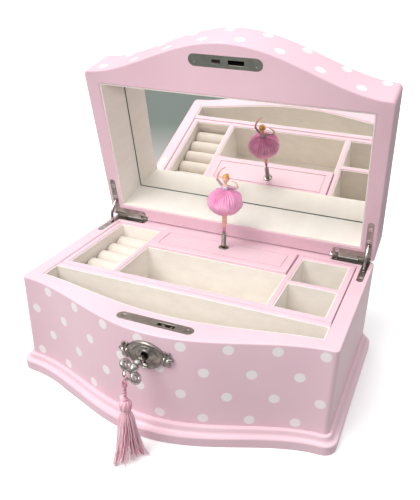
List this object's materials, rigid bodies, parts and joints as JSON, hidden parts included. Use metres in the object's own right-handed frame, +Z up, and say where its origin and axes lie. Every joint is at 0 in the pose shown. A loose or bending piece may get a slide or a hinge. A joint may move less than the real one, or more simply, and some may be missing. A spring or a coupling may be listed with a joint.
{
  "type": "ballerina jewellery box",
  "caption": "Serpentine-fronted jewellery box with a mirrored lid on stayed hinges, a lined compartment tray, a lock with tasselled key and a wind-up musical movement turning a sprung figure.",
  "frame": {"origin": "on the underside of the felt, under the middle of the straight part of the case", "axes": "+X to the right seen from the front, +Y to the back, +Z up; the lid stands open at its stop"},
  "size_m": [0.268, 0.2465, 0.265],
  "materials": {
    "pink_paper": "satin paper over fibreboard, pale pink",
    "felt": "felt",
    "lining": "flocked cream lining",
    "mirror": "silvered glass",
    "nickel": "nickel plated",
    "brass": "plain brass",
    "skin": "moulded plastic",
    "bodice": "painted plastic",
    "hair": "painted plastic",
    "tulle": "gathered net",
    "tassel": "silky thread"
  },
  "bodies": {
    "case": {"base_felt": "felt", "plinth": "pink_paper", "case_front": "pink_paper", "case_left": "pink_paper", "case_right": "pink_paper", "case_back": "pink_paper", "bin_partition": "pink_paper", "bin_floor": "pink_paper", "bin_lining": "lining", "tray": "pink_paper", "tray_lining": "lining", "ring_rolls": "lining", "music_cover": "pink_paper", "spindle_collar": "nickel", "case_leaf_left": "nickel", "case_leaf_right": "nickel", "hinge_pins": "nickel", "case_leaf_screws": "nickel", "lock_case": "brass", "lock_plate": "nickel", "lock_plate_screws": "nickel", "escutcheon": "nickel", "escutcheon_pins": "nickel", "bedplate": "brass", "bedplate_screws": "nickel", "comb": "nickel", "comb_screws": "nickel"},
    "lid": {"lid_frame": "pink_paper", "lid_top": "pink_paper", "lid_lining": "lining", "lid_mirror": "mirror", "strike_plate": "nickel", "strike_screws": "nickel", "lid_leaf_left": "nickel", "lid_leaf_right": "nickel", "lid_leaf_screws": "nickel"},
    "stay_left": {"stay_left": "nickel"},
    "stay_right": {"stay_right": "nickel"},
    "hook": {"hook_bolt": "brass"},
    "key": {"front_key": "nickel", "tassel_knot": "tassel"},
    "tassel": {"tassel_cord": "tassel", "tassel_head": "tassel", "tassel_skirt": "tassel"},
    "barrel": {"mainspring_barrel": "brass"},
    "winder": {"winding_arbor": "nickel", "winding_key": "brass"},
    "cylinder": {"pin_cylinder": "brass"},
    "governor": {"governor_fan": "brass"},
    "figure_base": {"figure_spring": "nickel", "spring_cap": "nickel"},
    "figure": {"figure_legs": "skin", "figure_bodice": "bodice", "figure_arms": "skin", "figure_head": "skin", "figure_hair": "hair", "tutu": "tulle"}
  },
  "joints": [
    {"name": "lid_hinge", "type": "hinge", "parent": "case", "child": "lid", "pos_m": [0, 0.0705, 0.089], "axis": [1, 0, 0], "range_deg": [0, 77]},
    {"name": "stay_left_slide", "type": "hinge", "parent": "case", "child": "stay_left", "pos_m": [0, 0.0705, 0.089], "axis": [1, 0, 0], "range_deg": [0, 38.5]},
    {"name": "stay_right_slide", "type": "hinge", "parent": "case", "child": "stay_right", "pos_m": [0, 0.0705, 0.089], "axis": [1, 0, 0], "range_deg": [0, 38.5]},
    {"name": "figure_fold", "type": "hinge", "parent": "case", "child": "figure_base", "pos_m": [0, 0.0413, 0.0913], "axis": [1, 0, 0], "range_deg": [0, 70.01], "deforming": ["figure_spring"]},
    {"name": "cylinder_turn", "type": "hinge", "parent": "case", "child": "cylinder", "pos_m": [0, 0.0413, 0.06], "axis": [0, 0, 1], "continuous": true},
    {"name": "figure_turn", "type": "hinge", "parent": "figure_base", "child": "figure", "pos_m": [0, 0.0413, 0.103], "axis": [0, 0, 1], "continuous": true},
    {"name": "barrel_turn", "type": "hinge", "parent": "case", "child": "barrel", "pos_m": [0, 0.0515, 0.037], "axis": [0, 1, 0], "continuous": true},
    {"name": "governor_turn", "type": "hinge", "parent": "case", "child": "governor", "pos_m": [0.0144, 0.0413, 0.06], "axis": [0, 0, 1], "continuous": true},
    {"name": "winding_turn", "type": "hinge", "parent": "case", "child": "winder", "pos_m": [0, 0.0715, 0.037], "axis": [0, 1, 0], "continuous": true},
    {"name": "key_turn", "type": "hinge", "parent": "case", "child": "key", "pos_m": [0, -0.103, 0.068], "axis": [0, 1, 0], "range_deg": [0, 110]},
    {"name": "hook_swing", "type": "hinge", "parent": "case", "child": "hook", "pos_m": [0.0062, -0.0887, 0.08295], "axis": [0, -1, 0], "range_deg": [0, 110]},
    {"name": "tassel_hang", "type": "hinge", "parent": "key", "child": "tassel", "pos_m": [0, -0.13108, 0.068], "axis": [0, 1, 0], "range_deg": [-110, 0]}
  ],
  "couplings": [
    {"joint": "stay_left_slide", "follows": "lid_hinge", "ratio": 0.5},
    {"joint": "stay_right_slide", "follows": "lid_hinge", "ratio": 0.5},
    {"joint": "figure_fold", "follows": "lid_hinge", "ratio": 0.90909},
    {"joint": "figure_turn", "follows": "cylinder_turn", "ratio": 1},
    {"joint": "barrel_turn", "follows": "cylinder_turn", "ratio": -0.42857},
    {"joint": "governor_turn", "follows": "cylinder_turn", "ratio": -5},
    {"joint": "hook_swing", "follows": "key_turn", "ratio": 1},
    {"joint": "tassel_hang", "follows": "key_turn", "ratio": -1}
  ]
}
